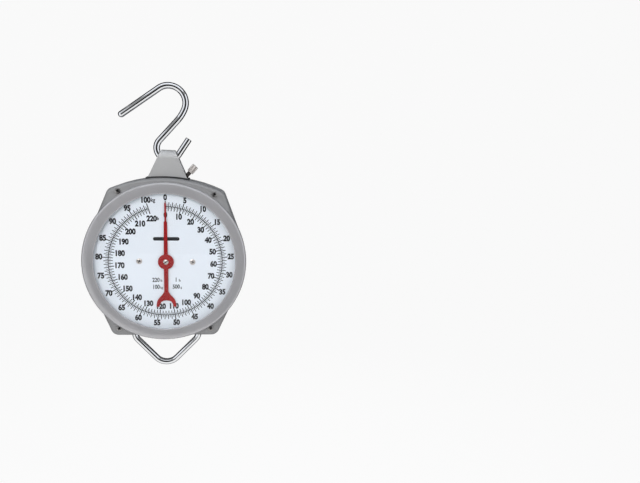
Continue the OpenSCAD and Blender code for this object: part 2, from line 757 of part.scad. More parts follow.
module pointer_outline() {
    needle = needle_w / 2;
    blunt = needle_reach - needle_w;
    arm_end = (arm_w - arm_taper) / 2;
    arm_foot = (arm_w + arm_taper) / 2;
    crescent_top = crescent_reach - crescent_r + crescent_w / 2;
    translate([-needle, 0]) square([needle_w, blunt]);
    polygon([[-needle, blunt - needle_point], [needle, blunt - needle_point], [0, needle_reach]]);
    polygon([[-arm_foot, 0], [arm_foot, 0], [arm_end, arm_reach - arm_point], [needle, arm_reach],
        [-needle, arm_reach], [-arm_end, arm_reach - arm_point]]);
    circle(d = hub_d);
    translate([-tail_w / 2, -crescent_top]) square([tail_w, crescent_top]);
    translate([0, -crescent_reach]) difference() {
        union() {
            circle(r = crescent_r);
            polygon([[-crescent_r * 0.8, crescent_r * 0.6], [crescent_r * 0.8, crescent_r * 0.6],
                [tail_w / 2, crescent_r * 1.5], [-tail_w / 2, crescent_r * 1.5]]);
        }
        circle(r = crescent_r - crescent_w);
        translate([-2 * crescent_r, -2 * crescent_r])
            square([4 * crescent_r, 2 * crescent_r + crescent_cut]);
    }
}

module pointer() {
    color("red") at_dial() difference() {
        slab(pointer_y, pointer_back) pointer_outline();
        rod_y(0, 0, pointer_screw_d + 2 * slip_gap, pointer_y - over, pointer_back + over);
    }
}

module pointer_screw() {
    color("silver") at_dial() {
        rod_y(0, 0, pointer_head_d, pointer_y - face_gap - pointer_head_t, pointer_y - face_gap);
        rod_y(0, 0, pointer_screw_d, pointer_y - pointer_head_t / 2, pointer_back + pointer_screw_len);
    }
}

// The rack stands on the crossbar and meets the pinion on its right side
module rack() {
    half = tooth_pitch / 4 - backlash / 2;
    root_x = pinion_r + dedendum;
    tip_x = pinion_r - addendum;
    root_half = half + dedendum * tan(pressure_a);
    tip_half = half - addendum * tan(pressure_a);
    foot = bar_top - rack_foot;
    teeth = [for (i = [0:rack_teeth - 1]) let (z = (rack_low_tooth + i + 0.5) * tooth_pitch)
        each [[root_x, z - root_half], [tip_x, z - tip_half], [tip_x, z + tip_half],
            [root_x, z + root_half]]];
    color("goldenrod") at_dial() difference() {
        slab(-rack_t / 2, rack_t / 2) polygon(concat([[rack_back, foot], [root_x, foot]], teeth,
            [[root_x, rack_top], [rack_back, rack_top]]));
        for (z = rack_pins_z)
            rod_y(rack_back - rack_w / 2, z, rack_pin_d + 2 * run_gap, -rack_t, rack_t);
    }
}

module rack_guide() {
    color("silver") at_dial() {
        rod_y(guide_x, 0, guide_d, -plate_in + face_gap, plate_in - face_gap);
        rod_y(guide_x, 0, spigot_d, -plate_out, plate_out);
    }
}

module rack_pins() {
    color("silver") at_dial() for (z = rack_pins_z)
        rod_y(rack_back - rack_w / 2, z, rack_pin_d, -bar_t / 2, bar_t / 2);
}

module crossbar() {
    left = pinion_r + dedendum;
    color("dimgray") at_dial() difference() {
        translate([-bar_half, -bar_t / 2, bar_low]) cube([2 * bar_half, bar_t, bar_h]);
        translate([left - run_gap, -rack_t / 2 - run_gap, bar_top - rack_foot - face_gap])
            cube([rack_w + 2 * run_gap, rack_t + 2 * run_gap, bar_h]);
        for (z = rack_pins_z)
            rod_y(rack_back - rack_w / 2, z, rack_pin_d + 2 * run_gap, -bar_t, bar_t);
        for (s = [-1, 1]) {
            translate([s * loop_x, 0, bar_low - over])
                cylinder(h = loop_leg_top + face_gap - bar_low + over, d = loop_bar + 2 * run_gap);
            translate([s * spring_x, 0, bar_low - over])
                cylinder(h = bar_h + 2 * over, d = stud_d + 2 * run_gap);
        }
    }
}

module lower_loop() {
    bends = [[loop_leg_len, loop_corner_r, 90 - loop_slope], [flank_len, loop_apex_r, 2 * loop_slope],
        [flank_len, loop_corner_r, 90 - loop_slope], [loop_leg_len, 0, 0]];
    start = [-loop_x, loop_leg_top, -90, loop_r];
    color("silver") at_dial()
        bar(concat([start], bar_rings(bends, -loop_x, loop_leg_top, -90, loop_r)));
}

// Hexagon nut on an upright stud, from a height upwards
module nut(x, z, width, height, bore) {
    translate([x, 0, z]) difference() {
        cylinder(h = height, d = width / cos(30), $fn = 6);
        translate([0, 0, -over]) cylinder(h = height + 2 * over, d = bore);
    }
}

module loop_nuts() {
    color("silver") at_dial() for (s = [-1, 1])
        nut(s * loop_x, bar_low - face_gap - leg_nut_h, leg_nut_w, leg_nut_h, loop_bar + 2 * run_gap);
}

// Plastic bushes that guide the legs through the bottom of the case
module leg_bushes() {
    lips = [-face_gap - bush_lip_t, case_t + face_gap];
    bush_len = lips[1] - lips[0] + bush_lip_t;
    color("black") at_dial() for (s = [-1, 1]) translate([s * loop_x, 0, -case_bottom]) difference() {
        union() {
            translate([0, 0, lips[0]]) cylinder(h = bush_len, d = bush_d);
            for (z = lips) translate([0, 0, z]) cylinder(h = bush_lip_t, d = bush_d + 2 * bush_lip);
        }
        translate([0, 0, lips[0] - over]) cylinder(h = bush_len + 2 * over, d = loop_bar + 4 * run_gap);
    }
}

// One unbroken wire wound from the lower plug to the upper plug
module spring(x) {
    rings = coil_rings * turns;
    lead = atan(pitch / (PI * coil_d));
    points = [for (k = [0:rings], i = [0:coil_sides - 1]) let (
        a = k * 360 / coil_rings,
        t = i * 360 / coil_sides,
        out = wire_d / 2 * cos(t),
        up = wire_d / 2 * sin(t))
        coil_centre(k) + [out * cos(a) + up * sin(lead) * sin(a),
            out * sin(a) - up * sin(lead) * cos(a),
            spring_low + wire_d / 2 + up * cos(lead)]];
    walls = [for (k = [0:rings - 1], i = [0:coil_sides - 1]) let (
        j = (i + 1) % coil_sides,
        low = k * coil_sides,
        high = low + coil_sides)
        each [[low + i, high + i, low + j], [low + j, high + i, high + j]]];
    ends = [[for (i = [0:coil_sides - 1]) i],
        [for (i = [coil_sides - 1:-1:0]) rings * coil_sides + i]];
    color("dimgray") at_dial() translate([x, 0, 0])
        polyhedron(points = points, faces = concat(walls, ends));
}

module left_spring() { spring(-spring_x); }

module right_spring() { spring(spring_x); }

// Plug screwed into the end of a spring, drawn upwards from its flange
module plug(stud_len) {
    cylinder(h = flange_t, d = flange_d);
    cylinder(h = flange_t + plug_len, d = plug_d);
    translate([0, 0, -stud_len]) cylinder(h = stud_len + over, d = stud_d);
}

module lower_plugs() {
    color("silver") at_dial() for (s = [-1, 1])
        translate([s * spring_x, 0, bar_top + face_gap]) plug(bar_h + stud_nut_h + stud_over);
}

module upper_plugs() {
    color("silver") at_dial() for (s = [-1, 1])
        translate([s * spring_x, 0, yoke_low - face_gap]) mirror([0, 0, 1])
            plug(yoke_h + stud_nut_h + stud_over);
}

module lower_plug_nuts() {
    color("silver") at_dial() for (s = [-1, 1]) nut(s * spring_x, bar_low - face_gap - stud_nut_h,
        stud_nut_w, stud_nut_h, stud_d + 2 * run_gap);
}

module upper_plug_nuts() {
    color("silver") at_dial() for (s = [-1, 1])
        nut(s * spring_x, yoke_top + face_gap, stud_nut_w, stud_nut_h, stud_d + 2 * run_gap);
}

// The yoke carries both springs and hangs from the zero lever, which sits in its fork
module upper_yoke() {
    color("dimgray") at_dial() difference() {
        union() {
            translate([-bar_half, -yoke_t / 2, yoke_low]) cube([2 * bar_half, yoke_t, yoke_h]);
            translate([-lug_w / 2, -yoke_t / 2, yoke_low]) cube([lug_w, yoke_t, link_z - yoke_low]);
            rod_y(0, link_z, lug_w, -yoke_t / 2, yoke_t / 2);
        }
        translate([-lug_w, -lever_t / 2 - slip_gap, link_z - link_eye_r - fork_gap])
            cube([2 * lug_w, lever_t + 2 * slip_gap, 2 * lug_w]);
        rod_y(0, link_z, link_pin_d + 2 * run_gap, -yoke_t, yoke_t);
        for (s = [-1, 1]) translate([s * spring_x, 0, yoke_low - over])
            cylinder(h = yoke_h + 2 * over, d = stud_d + 2 * run_gap);
    }
}

module link_pin() {
    color("silver") at_dial() rod_y(0, link_z, link_pin_d, -yoke_t / 2, yoke_t / 2);
}

module zero_lever() {
    color("goldenrod") at_dial() difference() {
        slab(-lever_t / 2, lever_t / 2) hull() {
            translate([lever_x, lever_z]) circle(r = lever_eye_r, $fn = 32);
            translate([0, link_z]) circle(r = link_eye_r, $fn = 32);
            translate([pad[0], pad[2]]) circle(r = pad_r, $fn = 32);
        }
        rod_y(0, link_z, link_pin_d + 2 * run_gap, -lever_t, lever_t);
        rod_y(lever_x, lever_z, lever_pin_d + 2 * run_gap, -lever_t, lever_t);
    }
}

module lever_pin() {
    color("silver") at_dial() rod_y(lever_x, lever_z, lever_pin_d, -plate_out, plate_out);
}

// Threaded block between the plates, in which the zero screw turns
module zero_block() {
    color("goldenrod") at_dial() along_screw(block_from_knob) difference() {
        cube([block_w, 2 * (plate_in - face_gap), block_len], center = true);
        cylinder(h = 2 * block_len, d = screw_d + 2 * run_gap, center = true);
    }
}

module zero_stem() {
    color("gray") at_dial() along_screw(tip_from_knob)
        cylinder(h = tip_from_knob - knob_len / 2 + knob_socket, d = screw_d);
}

// Knurled knob, fixed on the end of the screw
module zero_knob() {
    ribs = 20;
    depth = 0.35;
    color("rosybrown") at_dial() along_screw(0) difference() {
        translate([0, 0, -knob_len / 2]) linear_extrude(height = knob_len) polygon([
            for (i = [0:2 * ribs - 1]) let (r = knob_d / 2 - (i % 2) * depth, a = i * 180 / ribs)
                [r * cos(a), r * sin(a)]]);
        translate([0, 0, -knob_len / 2 - over])
            cylinder(h = knob_socket + over + face_gap, d = screw_d + 2 * run_gap);
    }
}

upper_hook();
hanger_frame();
hanger_seal();
front_cover();
rear_cover();
case_spacers();
case_screws();
frame_standoffs();
frame_screws();
frame_pillars();
bezel_ring();
lens();
lens_gasket();
dial_plate();
dial_posts();
dial_screws();
front_bearing();
rear_bearing();
spindle();
pinion();
pointer_boss();
pointer();
pointer_screw();
rack();
rack_guide();
rack_pins();
crossbar();
lower_loop();
loop_nuts();
leg_bushes();
left_spring();
right_spring();
upper_plugs();
lower_plugs();
upper_plug_nuts();
lower_plug_nuts();
upper_yoke();
link_pin();
zero_lever();
lever_pin();
zero_block();
zero_stem();
zero_knob();
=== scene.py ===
import json
import math

import bpy
from mathutils import Matrix, Vector

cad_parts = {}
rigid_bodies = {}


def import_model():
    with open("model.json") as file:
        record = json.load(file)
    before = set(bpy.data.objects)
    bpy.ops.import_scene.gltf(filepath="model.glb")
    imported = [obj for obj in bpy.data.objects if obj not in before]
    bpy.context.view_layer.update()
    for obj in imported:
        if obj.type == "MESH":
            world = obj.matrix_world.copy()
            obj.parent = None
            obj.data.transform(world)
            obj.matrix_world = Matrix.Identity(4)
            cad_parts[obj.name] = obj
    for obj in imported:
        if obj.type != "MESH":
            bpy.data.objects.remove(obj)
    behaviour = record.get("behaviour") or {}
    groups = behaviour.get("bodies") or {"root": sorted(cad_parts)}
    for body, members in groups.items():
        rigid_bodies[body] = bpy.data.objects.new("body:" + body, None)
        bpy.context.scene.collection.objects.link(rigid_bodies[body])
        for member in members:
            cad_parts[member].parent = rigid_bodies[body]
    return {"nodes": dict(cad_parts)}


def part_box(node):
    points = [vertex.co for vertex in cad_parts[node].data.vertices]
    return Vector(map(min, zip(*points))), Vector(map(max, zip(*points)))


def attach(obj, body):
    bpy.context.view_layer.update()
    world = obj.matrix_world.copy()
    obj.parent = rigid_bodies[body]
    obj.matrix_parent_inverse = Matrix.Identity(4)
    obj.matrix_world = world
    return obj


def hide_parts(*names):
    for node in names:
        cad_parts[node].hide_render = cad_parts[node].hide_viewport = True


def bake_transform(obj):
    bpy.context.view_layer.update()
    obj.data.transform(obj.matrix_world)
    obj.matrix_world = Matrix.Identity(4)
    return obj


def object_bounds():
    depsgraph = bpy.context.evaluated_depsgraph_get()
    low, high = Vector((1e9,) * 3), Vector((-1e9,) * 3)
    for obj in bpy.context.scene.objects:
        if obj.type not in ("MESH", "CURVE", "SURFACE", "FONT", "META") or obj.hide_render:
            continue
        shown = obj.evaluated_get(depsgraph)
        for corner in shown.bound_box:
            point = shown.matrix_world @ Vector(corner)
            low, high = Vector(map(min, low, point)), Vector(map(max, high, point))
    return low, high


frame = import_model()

cad_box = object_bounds()


# The view: the scale hangs at the left of the picture, about 0.75 m away, seen from slightly above
# and from slightly to its right. The camera is level to within three degrees.
picture_width = 640
focal_pixels = 566.12
camera_place = Vector((0.07034, -0.74244, -0.06502))
turn, tilt, roll = (math.radians(angle) for angle in (-9.83, 9.2, 2.92))

backward = Vector((math.sin(turn) * math.cos(tilt), -math.cos(turn) * math.cos(tilt), math.sin(tilt)))
level_right = (-backward).cross(Vector((0, 0, 1))).normalized()
level_up = level_right.cross(-backward)
right = level_right * math.cos(roll) + level_up * math.sin(roll)
up = level_up * math.cos(roll) - level_right * math.sin(roll)
bpy.ops.object.camera_add()
camera = bpy.context.object
camera.matrix_world = Matrix.Translation(camera_place) @ Matrix((right, up, backward)).transposed().to_4x4()
camera.data.sensor_width = 36
camera.data.lens = focal_pixels / picture_width * camera.data.sensor_width
bpy.context.scene.camera = camera
bpy.context.scene.view_settings.view_transform = "Standard"


# The studio: a pale floor that turns up into a pale wall behind the hanging scale. Both look near
# white to the camera and in reflections, and give the object only plain soft light.
class Signal:
    """One output of a material's nodes. Arithmetic on it adds Math nodes."""

    def __init__(self, material, socket=None):
        self.material = material
        self.socket = socket

    def node(self, kind, settings=None, inputs=None, output=0):
        """Adds a node, with its settings first and then the values or links of its sockets."""
        node = self.material.node_tree.nodes.new(kind)
        for name, value in (settings or {}).items():
            if name == "stops":
                while len(node.color_ramp.elements) < len(value):
                    node.color_ramp.elements.new(1)
                for stop, (position, colour) in zip(node.color_ramp.elements, value):
                    stop.position = position
                    stop.color = (*colour, 1)
            else:
                setattr(node, name, value)
        for name, value in (inputs or {}).items():
            if isinstance(value, Signal):
                self.material.node_tree.links.new(value.socket, node.inputs[name])
            else:
                node.inputs[name].default_value = value
        return Signal(self.material, node.outputs[output]) if node.outputs else None

    def maths(self, operation, first, second):
        return self.node("ShaderNodeMath", {"operation": operation}, {0: first, 1: second})

    def __add__(self, other):
        return self.maths("ADD", self, other)

    def __mul__(self, other):
        return self.maths("MULTIPLY", self, other)

    __radd__ = __add__
    __rmul__ = __mul__


def new_material(name):
    """A material with no nodes but the place on the piece, from which its pattern starts."""
    material = bpy.data.materials.new(name)
    material.use_nodes = True
    material.node_tree.nodes.clear()
    return material, Signal(material).node("ShaderNodeTexCoord", output="Object")


def show(material, shader):
    """Ends a material: the shader is what its surface shows."""
    shader.node("ShaderNodeOutputMaterial", inputs={"Surface": shader})
    return material


def backdrop_paper():
    """Matt paper, nearly white to the camera. In polished metal the wall far behind looks dim."""
    material, place = new_material("backdrop_paper")
    camera_ray, mirror_ray, glass_ray = (place.node("ShaderNodeLightPath", output=f"Is {kind} Ray")
        for kind in ("Camera", "Glossy", "Transmission"))
    seen = place.node("ShaderNodeClamp", inputs={"Value": camera_ray + mirror_ray + glass_ray})
    depth = place.node("ShaderNodeSeparateXYZ", inputs={"Vector": place}, output="Y")
    behind = place.node("ShaderNodeMapRange", inputs={"Value": depth, "From Min": -0.2, "From Max": 0.35})
    matt = place.node("ShaderNodeBsdfDiffuse", inputs={"Color": (0.86, 0.86, 0.86, 1)})
    glow = place.node("ShaderNodeEmission", inputs={"Color": (0.98, 0.98, 0.98, 1), "Strength": 1})
    dusk = place.node("ShaderNodeEmission", inputs={"Color": (0.10, 0.10, 0.11, 1), "Strength": 1})
    shown = place.node("ShaderNodeMixShader", inputs={0: mirror_ray * behind, 1: glow, 2: dusk})
    glow_share = 0.95
    return show(material, place.node("ShaderNodeMixShader", inputs={0: seen * glow_share, 1: matt, 2: shown}))


def keep_place_in_mesh():
    """Puts the selected piece at the origin, with its place, turn and scale in its mesh."""
    bpy.ops.object.transform_apply(location=True, rotation=True, scale=True)


def add_mesh(primitive, **settings):
    """Adds a primitive with nothing else selected, its place in its mesh."""
    bpy.ops.object.select_all(action="DESELECT")
    primitive(**settings)
    keep_place_in_mesh()
    return bpy.context.object


def edit_points(piece, test):
    """Opens a piece for editing with only the points selected whose places pass a test."""
    bpy.ops.object.mode_set(mode="EDIT")
    bpy.ops.mesh.select_mode(type="VERT")
    bpy.ops.mesh.select_all(action="DESELECT")
    bpy.ops.object.mode_set(mode="OBJECT")
    for vertex in piece.data.vertices:
        vertex.select = test(vertex.co)
    bpy.ops.object.mode_set(mode="EDIT")


def extrude(move):
    """Extrudes what is selected, and moves the new part."""
    bpy.ops.mesh.extrude_region_move(TRANSFORM_OT_translate={"value": move})


floor_drop = 0.9
floor_height = cad_box[0][2] - floor_drop
floor_size = 9
floor_middle = -1
wall_curve = 1.2
floor = add_mesh(bpy.ops.mesh.primitive_plane_add, size=floor_size, location=(0, floor_middle, floor_height))
floor.name = "floor"
edit_points(floor, lambda place: place.y > 0)
bpy.ops.mesh.spin(steps=24, angle=math.pi / 2, axis=(-1, 0, 0),
    center=(0, floor_middle + floor_size / 2, floor_height + wall_curve))
extrude((0, 0, floor_size))
bpy.ops.object.mode_set(mode="OBJECT")
bpy.ops.object.shade_smooth()
floor.data.materials.append(backdrop_paper())

ambient = 0.33
added_when_seen = 0.65
world = bpy.data.worlds.new("studio")
bpy.context.scene.world = world
world.use_nodes = True
backdrop = world.node_tree.nodes["Background"]
backdrop.inputs["Color"].default_value = (0.965, 0.97, 0.98, 1)
seen_directly = Signal(world).node("ShaderNodeLightPath", output="Is Camera Ray")
world.node_tree.links.new((seen_directly * added_when_seen + ambient).socket, backdrop.inputs["Strength"])

# Each lamp: place, width, height, colour and power in watts. All are aimed at the middle of the case,
# and only the one above shows in gloss.
lamp_aim = Vector((0, 0, -0.2))
lamps = {
    "key_lamp": ((-0.4, -2.0, 0.5), 1.3, 1.1, (1, 1, 1), 24),
    "fill_lamp": ((1.2, -1.7, 0.0), 0.9, 1.4, (1, 1, 1), 7),
    "top_lamp": ((0.0, -0.3, 1.5), 1.6, 0.9, (0.84, 0.92, 1.0), 15),
    "back_lamp": ((0.5, 2.0, 0.5), 1.3, 1.1, (1, 1, 1), 16)}
for name, (place, width, height, colour, power) in lamps.items():
    bpy.ops.object.light_add(type="AREA", location=place)
    lamp = bpy.context.object
    lamp.name = name
    lamp.rotation_euler = (lamp_aim - Vector(place)).to_track_quat("-Z", "Y").to_euler()
    lamp.data.shape = "RECTANGLE"
    lamp.data.size = width
    lamp.data.size_y = height
    lamp.data.color = colour
    lamp.data.energy = power
    lamp.visible_glossy = name == "top_lamp"


# Cards that only polished surfaces see: white ones left, right and above, as in a light tent, black
# ones beyond them and a round black one at the camera. They give the chrome its bands and dark lines.
def noise(place, scale, detail):
    """Soft random changes over a surface, finer with more scale and rougher with more detail."""
    inputs = {"Vector": place, "Scale": scale, "Detail": detail}
    return place.node("ShaderNodeTexNoise", inputs=inputs, output="Fac")


def two_tones(mask, dark, light, stops=(0.3, 0.7)):
    """A colour that goes from a dark tone to a light one as a mask rises from the first stop to the last."""
    return mask.node("ShaderNodeValToRGB", {"stops": list(zip(stops, (dark, light)))}, {0: mask})


def toned(colour, share):
    """A colour made darker, or lighter up to white."""
    return tuple(min(1, share * part) for part in colour)


def card_paint(name, colour):
    """Even paint that shines with its own colour."""
    material, place = new_material(name)
    shade = two_tones(noise(place, 3, 1), toned(colour, 0.94), colour)
    return show(material, place.node("ShaderNodeBsdfPrincipled", inputs={
        "Base Color": (0, 0, 0, 1), "Roughness": 1.0, "Specular IOR Level": 0.0,
        "Emission Color": shade, "Emission Strength": 1.15}))


def show_in_gloss_alone(card, name, material):
    """Ends a card, which only reflections show."""
    keep_place_in_mesh()
    card.name = name
    card.visible_camera = False
    card.visible_diffuse = False
    card.visible_shadow = False
    card.visible_transmission = False
    card.data.materials.append(material)


card_white = card_paint("card_white", (0.93, 0.95, 1.0))
card_black = card_paint("card_black", (0.012, 0.012, 0.014))
upright = math.radians(90)
tent = {
    "left_card": ((-1.3, -1.05, 0.0), upright, (1.8, 1.5), card_white),
    "right_card": ((1.3, -1.05, 0.0), upright, (1.8, 1.5), card_white),
    "high_card": ((0.0, -1.05, 1.2), 0, (2.4, 1.5), card_white),
    "left_flag": ((-1.4, 1.4, 0.0), upright, (2.4, 3.3), card_black),
    "right_flag": ((1.4, 1.4, 0.0), upright, (2.4, 3.3), card_black),
    "high_flag": ((0.0, 1.4, 1.25), 0, (2.8, 3.3), card_black)}
for name, (place, lean, (width, length), material) in tent.items():
    card = add_mesh(bpy.ops.mesh.primitive_plane_add, size=1)
    card.scale = (width, length, 1)
    card.rotation_euler = (0, lean, 0)
    card.location = place
    show_in_gloss_alone(card, name, material)
disc = add_mesh(bpy.ops.mesh.primitive_circle_add, vertices=64, radius=0.62, fill_type="NGON",
    location=(0.12, -1.35, -0.2), rotation=(upright, 0, 0))
show_in_gloss_alone(disc, "camera_disc", card_black)


# Upper hook: one length of round steel bar, bent cold into an S and chrome plated. The tip is ground
# round, and the short end is cut square with its edge broken. The hanger's fold sits in the lower bend.
def chrome_plate(name, tint):
    """Polished chrome with fine wiping marks in its gloss."""
    material, place = new_material(name)
    clouds = noise(place, 45, 2)
    shade = two_tones(clouds, toned(tint, 0.93), tint)
    marks = place.node("ShaderNodeBump", inputs={
        "Strength": 0.02, "Distance": 0.0002, "Height": noise(place, 900, 4)})
    return show(material, place.node("ShaderNodeBsdfPrincipled", inputs={
        "Base Color": shade, "Metallic": 1.0, "Roughness": 0.03 + clouds * 0.05, "Normal": marks}))


def edit_all():
    """Opens the active piece for editing with all of it selected."""
    bpy.ops.object.mode_set(mode="EDIT")
    bpy.ops.mesh.select_all(action="SELECT")


round_angle = math.radians(35)


def close_piece(piece, name, smooth=round_angle):
    """Ends editing: faces turned outwards, the piece at the origin, its round faces smooth."""
    edit_all()
    bpy.ops.mesh.remove_doubles(threshold=1e-6)
    bpy.ops.mesh.normals_make_consistent(inside=False)
    bpy.ops.mesh.select_all(action="DESELECT")
    bpy.ops.object.mode_set(mode="OBJECT")
    keep_place_in_mesh()
    bpy.ops.object.shade_smooth_by_angle(angle=smooth)
    piece.name = name
    piece.data.name = name
    return piece


bar_chamfer = 0.0005
bend_step = math.radians(3)


def bent_bar(name, radius, start, heading, bends, tip_ends):
    """A round bar in the XZ plane, carried along straights and spun round bends: (length, bend radius, turn).

    The first end has a chamfer. The last one is rounded in rings at the angles of tip_ends, or cut square."""
    direction = Vector((math.cos(heading), 0, math.sin(heading)))
    piece = add_mesh(bpy.ops.mesh.primitive_circle_add, vertices=40, radius=radius - bar_chamfer,
        fill_type="NGON", location=start, rotation=(0, math.pi / 2 - heading, 0))
    edit_all()
    extrude(direction * bar_chamfer)
    end = Vector(start) + direction * bar_chamfer
    grow = radius / (radius - bar_chamfer)
    bpy.ops.transform.resize(value=(grow, grow, grow), center_override=end)
    for length, bend_radius, bend in bends:
        if length:
            extrude(direction * length)
            end = end + direction * length
        if bend:
            reach = math.copysign(bend_radius, bend)
            centre = end + Vector((-math.sin(heading), 0, math.cos(heading))) * reach
            steps = math.ceil(abs(bend) / bend_step)
            bpy.ops.mesh.spin(steps=steps, angle=bend, center=centre, axis=(0, 1, 0))
            heading += bend
            end = centre - Vector((-math.sin(heading), 0, math.cos(heading))) * reach
            direction = Vector((math.cos(heading), 0, math.sin(heading)))
    carried = 0
    ring = radius
    for angle in tip_ends:
        extrude(direction * (radius * math.sin(angle) - carried))
        carried = radius * math.sin(angle)
        shrink = radius * math.cos(angle) / ring
        ring = radius * math.cos(angle)
        bpy.ops.transform.resize(value=(shrink, shrink, shrink), center_override=end + direction * carried)
    return close_piece(piece, name)


hook_bar = 0.008
crown_radius = 0.0203
seat_radius = 0.0145
hook_span = 0.0564
sweep_radius = 0.048
sweep_turn = math.radians(20)
tip_slope = math.radians(37.4)
tip_length = 0.0558
tip_rings = [math.radians(angle) for angle in (18, 36, 54, 70, 82)]
arm_slope = math.radians(58)
arm_length = 0.0238
crown_height = hook_bar / 2 - crown_radius
seat_height = crown_height - hook_span
shank_across = seat_radius + sweep_radius - (sweep_radius - crown_radius) * math.cos(sweep_turn)
shank_slope = math.acos(shank_across / hook_span)
shank_length = (math.sqrt(hook_span**2 - shank_across**2)
    - (sweep_radius - crown_radius) * math.sin(sweep_turn))
arm_end = (seat_radius * math.sin(arm_slope) + arm_length * math.cos(arm_slope), 0,
    seat_height - seat_radius * math.cos(arm_slope) + arm_length * math.sin(arm_slope))
hook = bent_bar("hook_bar", hook_bar / 2, arm_end, math.pi + arm_slope, [
    (arm_length - bar_chamfer, seat_radius, shank_slope - math.pi - arm_slope),
    (shank_length, sweep_radius, sweep_turn),
    (0, crown_radius, math.pi + tip_slope - shank_slope - sweep_turn),
    (tip_length, 0, 0)], tip_rings)
chrome = chrome_plate("chrome_bar_plate", (0.86, 0.87, 0.88))
hook.data.materials.append(chrome)
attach(hook, "hook")
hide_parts("upper_hook")


# Lower loop: the same chrome bar, bent to a V with a round bottom. Its two legs go up through plastic
# bushes in the bottom of the case and are screwed into the crossbar inside.
loop_bar = 0.008
loop_neck = 0.0022
loop_slope = math.radians(46.5)
corner_radius = 0.014
apex_radius = 0.018
loop_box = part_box("lower_loop")
leg_x = loop_box[1][0] - loop_bar / 2
leg_top = loop_box[1][2]
leg_length = leg_top - (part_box("front_cover")[0][2] - loop_neck)
corner_turn = math.pi / 2 - loop_slope
corner_across = corner_radius * (1 - math.cos(corner_turn))
flank = (leg_x - corner_across - apex_radius * math.sin(loop_slope)) / math.cos(loop_slope)
loop = bent_bar("loop_bar", loop_bar / 2, (-leg_x, 0, leg_top), -math.pi / 2, [
    (leg_length - bar_chamfer, corner_radius, corner_turn),
    (flank, apex_radius, 2 * loop_slope),
    (flank, corner_radius, corner_turn),
    (leg_length, 0, 0)], [])
loop.data.materials.append(chrome)
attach(loop, "carriage")
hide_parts("lower_loop")


# Hanger: a steel strap folded over the hook. Both of its sides run down into the case and carry the
# works. Pressed, its edges lightly broken, and sprayed satin silver grey.
def sprayed_paint(name, colour, roughness, metallic, fleck, orange_peel,
        lacquer=0.15, lacquer_roughness=0.25, painted_shade=None):
    """Sprayed paint: fine fleck, slow changes of tone, slight orange peel, and painted shade that darkens it
    between two depths.
    """
    material, place = new_material(name)
    tone = noise(place, 22, 3)
    mixed = noise(place, 2600, 2) * fleck + tone * (1 - fleck)
    shade = two_tones(mixed, toned(colour, 0.93), toned(colour, 1.06), (0.35, 0.65))
    # Painted shade: between the two depths the colour darkens to 0.12 of itself, for the shadow in a joint.
    if painted_shade:
        lit_depth, shaded_depth = painted_shade
        depth = place.node("ShaderNodeSeparateXYZ", inputs={"Vector": place}, output="Y")
        unshaded_share = place.node("ShaderNodeMapRange", inputs={
            "Value": depth, "From Min": lit_depth, "From Max": shaded_depth, "To Min": 1, "To Max": 0.12})
        shade = place.node("ShaderNodeVectorMath", {"operation": "SCALE"}, {0: shade, "Scale": unshaded_share})
    peel = place.node("ShaderNodeBump", inputs={
        "Strength": orange_peel, "Distance": 0.0003, "Height": noise(place, 700, 2)})
    return show(material, place.node("ShaderNodeBsdfPrincipled", inputs={
        "Base Color": shade, "Metallic": metallic, "Roughness": roughness - 0.05 + tone * 0.1, "Normal": peel,
        "Coat Weight": lacquer, "Coat Roughness": lacquer_roughness}))


def select_only(piece):
    """Makes a piece the active object and the only one selected."""
    bpy.ops.object.select_all(action="DESELECT")
    piece.select_set(True)
    bpy.context.view_layer.objects.active = piece


def keep_flats(piece):
    """Turns the smooth shading of the active piece so that its flats look flat up to their rounds."""
    flats = piece.modifiers.new("flats", "WEIGHTED_NORMAL")
    flats.keep_sharp = True
    bpy.ops.object.modifier_apply(modifier="flats")


sharp_angle = math.radians(38)


def break_edges(piece, edge):
    """Rounds the sharp edges of the active piece and keeps its flats flat."""
    bpy.ops.object.shade_smooth()
    bevel = piece.modifiers.new("edges", "BEVEL")
    bevel.width = edge
    bevel.segments = 3
    bevel.angle_limit = sharp_angle
    bpy.ops.object.modifier_apply(modifier="edges")
    keep_flats(piece)


def rounded_copy(node, name, edge=0):
    """A merged copy of a CAD node that stands for it, with its sharp edges broken if a width is given."""
    select_only(frame["nodes"][node])
    bpy.ops.object.duplicate(linked=False)
    piece = bpy.context.object
    bpy.ops.object.parent_clear(type="CLEAR_KEEP_TRANSFORM")
    piece.data.materials.clear()
    edit_all()
    bpy.ops.mesh.remove_doubles(threshold=2e-6)
    if edge:
        bpy.ops.mesh.dissolve_limited(angle_limit=math.radians(0.5))
    bpy.ops.mesh.select_all(action="DESELECT")
    bpy.ops.object.mode_set(mode="OBJECT")
    bpy.ops.object.shade_smooth_by_angle(angle=sharp_angle)
    if edge:
        break_edges(piece, edge)
    else:
        keep_flats(piece)
    piece.name = name
    piece.data.name = name
    return piece


hanger = rounded_copy("hanger_frame", "folded_hanger", edge=0.00035)
hanger.data.materials.append(sprayed_paint(
    "hanger_spray", (0.475, 0.475, 0.475), roughness=0.42, metallic=0.35, fleck=0.5, orange_peel=0.10))
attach(hanger, "case")
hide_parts("hanger_frame")


# Seal: a strip of black rubber on top of the case, round the two sides of the hanger and the zero
# screw. It keeps dust and rain out of the works.
def moulded_rubber(name, colour, roughness):
    """Matt rubber with a fine moulded grain."""
    material, place = new_material(name)
    grain = noise(place, 1800, 3)
    shade = two_tones(grain, toned(colour, 0.8), toned(colour, 1.2))
    bump = place.node("ShaderNodeBump", inputs={"Strength": 0.15, "Distance": 0.0002, "Height": grain})
    return show(material, place.node("ShaderNodeBsdfPrincipled", inputs={
        "Base Color": shade, "Roughness": roughness + grain * 0.1, "Normal": bump}))


